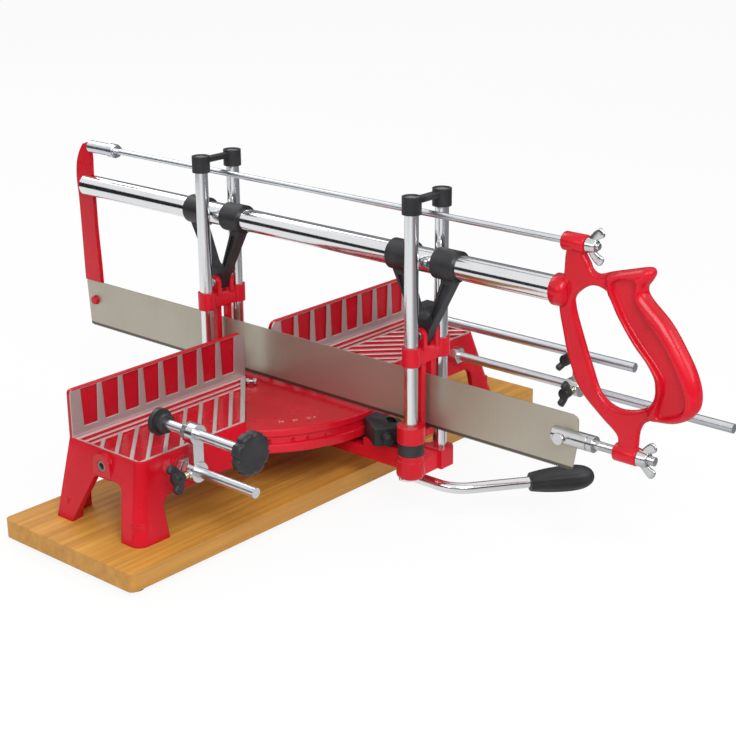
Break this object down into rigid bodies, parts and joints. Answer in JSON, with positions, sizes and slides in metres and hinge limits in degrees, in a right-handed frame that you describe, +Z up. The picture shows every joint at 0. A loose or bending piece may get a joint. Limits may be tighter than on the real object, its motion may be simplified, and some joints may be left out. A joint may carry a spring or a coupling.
{
  "type": "manual mitre saw",
  "caption": "Framed hand saw on guide posts whose arm swings under a cast red bed with slotted fence, work clamp and length stop, on a wooden board.",
  "frame": {"origin": "on the swing axis of the arm, where the blade's plane meets the fence face, at the surface the feet stand on", "axes": "+X along the board, -Y towards the handle and the user, +Z up"},
  "size_m": [0.496, 0.6492, 0.264],
  "materials": {
    "red_enamel": "glossy enamel",
    "oak_board": "clear satin varnish",
    "rubber": "matt",
    "zinc": "bright zinc plate",
    "chrome": "polished",
    "blade_steel": "satin ground",
    "black_plastic": "fine satin",
    "black_metal": "satin"
  },
  "bodies": {
    "base": {"base_board": "oak_board", "rubber_feet": "rubber", "board_screws": "zinc", "left_table": "red_enamel", "right_table": "red_enamel", "sector": "red_enamel", "socket_inserts": "zinc", "pivot_bolt": "zinc", "pivot_washer": "zinc", "mitre_stop_screw": "zinc", "clamp_support_rod": "chrome", "clamp_rod_nut": "zinc", "stop_support_rod": "chrome", "stop_rod_nut": "zinc"},
    "arm": {"swing_arm": "red_enamel", "front_left_post": "chrome", "front_right_post": "chrome", "rear_left_post": "chrome", "rear_right_post": "chrome", "front_post_bridge": "black_plastic", "rear_post_bridge": "black_plastic", "depth_stop_ring": "black_plastic", "depth_stop_screw": "zinc", "index_block": "black_plastic", "index_bush": "black_plastic", "index_spring": "zinc", "brake_shoe": "black_metal"},
    "clamp_lever": {"clamp_screw": "zinc", "lever_rod": "chrome", "lever_grip": "black_plastic"},
    "index_pin": {"index_plunger": "black_metal"},
    "rear_carriage": {"rear_slider": "red_enamel", "rear_wishbone": "black_plastic", "rear_wishbone_pin": "zinc"},
    "front_carriage": {"front_slider": "red_enamel", "front_wishbone": "black_plastic", "front_wishbone_pin": "zinc"},
    "saw": {"saw_tube": "chrome", "far_bracket": "red_enamel", "far_blade_pin": "red_enamel", "saw_handle": "red_enamel", "tension_rod": "chrome", "tension_barrel": "zinc", "saw_blade": "blade_steel", "blade_clevis": "zinc", "blade_pin": "zinc", "blade_stud": "zinc"},
    "tension_nut": {"tension_wing_nut": "zinc"},
    "blade_nut": {"blade_wing_nut": "zinc"},
    "clamp_arm": {"clamp_holder": "zinc"},
    "clamp_lock": {"clamp_lock_screw": "black_plastic"},
    "clamp_foot": {"clamp_pad": "black_plastic"},
    "clamp_turner": {"clamp_spindle": "chrome", "clamp_knob": "black_plastic"},
    "stop_arm": {"stop_holder": "zinc"},
    "stop_lower_lock": {"stop_lower_screw": "black_plastic"},
    "stop_upper_lock": {"stop_upper_screw": "black_plastic"},
    "stop_bar": {"stop_rod": "chrome", "stop_pad": "black_plastic"}
  },
  "joints": [
    {"name": "arm_swing", "type": "hinge", "parent": "base", "child": "arm", "pos_m": [0, 0, 0.045], "axis": [0, 0, 1], "range_deg": [-36, 22.5]},
    {"name": "lever_swing", "type": "hinge", "parent": "arm", "child": "clamp_lever", "pos_m": [0, -0.165, 0.03], "axis": [0, 0, 1], "range_deg": [-60, 0]},
    {"name": "index_pull", "type": "slide", "parent": "arm", "child": "index_pin", "axis": [-0.5446, -0.8387, 0], "range_m": [0, 0.004], "stiffness_N_per_m": 900, "springref_m": -0.003, "deforming": ["index_spring"]},
    {"name": "rear_lift", "type": "slide", "parent": "arm", "child": "rear_carriage", "axis": [0, 0, 1], "range_m": [0, 0.007]},
    {"name": "front_lift", "type": "slide", "parent": "arm", "child": "front_carriage", "axis": [0, 0, 1], "range_m": [0, 0.007]},
    {"name": "saw_stroke", "type": "slide", "parent": "rear_carriage", "child": "saw", "axis": [0, 1, 0], "range_m": [-0.115, 0.07]},
    {"name": "tension_nut_turn", "type": "hinge", "parent": "saw", "child": "tension_nut", "pos_m": [0, -0.335, 0.248], "axis": [0, 1, 0], "continuous": true},
    {"name": "blade_nut_turn", "type": "hinge", "parent": "saw", "child": "blade_nut", "pos_m": [0, -0.385, 0.102], "axis": [0, 1, 0], "continuous": true},
    {"name": "clamp_slide", "type": "slide", "parent": "base", "child": "clamp_arm", "axis": [0, 1, 0], "range_m": [-0.02, 0]},
    {"name": "clamp_lock_turn", "type": "hinge", "parent": "clamp_arm", "child": "clamp_lock", "pos_m": [-0.18, -0.09788, 0.0685], "axis": [1, 0, 0], "range_deg": [-60, 60]},
    {"name": "clamp_feed", "type": "slide", "parent": "clamp_arm", "child": "clamp_foot", "axis": [0, 1, 0], "range_m": [0, 0.044]},
    {"name": "clamp_turn", "type": "hinge", "parent": "clamp_foot", "child": "clamp_turner", "pos_m": [-0.165, -0.1, 0.0985], "axis": [0, 1, 0], "range_deg": [0, 7920]},
    {"name": "stop_slide", "type": "slide", "parent": "base", "child": "stop_arm", "axis": [0, 1, 0], "range_m": [-0.06, 0]},
    {"name": "stop_lower_turn", "type": "hinge", "parent": "stop_arm", "child": "stop_lower_lock", "pos_m": [0.15, -0.2143, 0.0685], "axis": [1, 0, 0], "range_deg": [-60, 60]},
    {"name": "stop_upper_turn", "type": "hinge", "parent": "stop_arm", "child": "stop_upper_lock", "pos_m": [0.15, -0.2143, 0.0985], "axis": [1, 0, 0], "range_deg": [-60, 60]},
    {"name": "stop_bar_slide", "type": "slide", "parent": "stop_arm", "child": "stop_bar", "axis": [0, 1, 0], "range_m": [-0.03, 0.03]}
  ],
  "couplings": [
    {"joint": "front_lift", "follows": "rear_lift", "ratio": 1},
    {"joint": "clamp_turn", "follows": "clamp_feed", "rad_per_m": 3141.6}
  ]
}
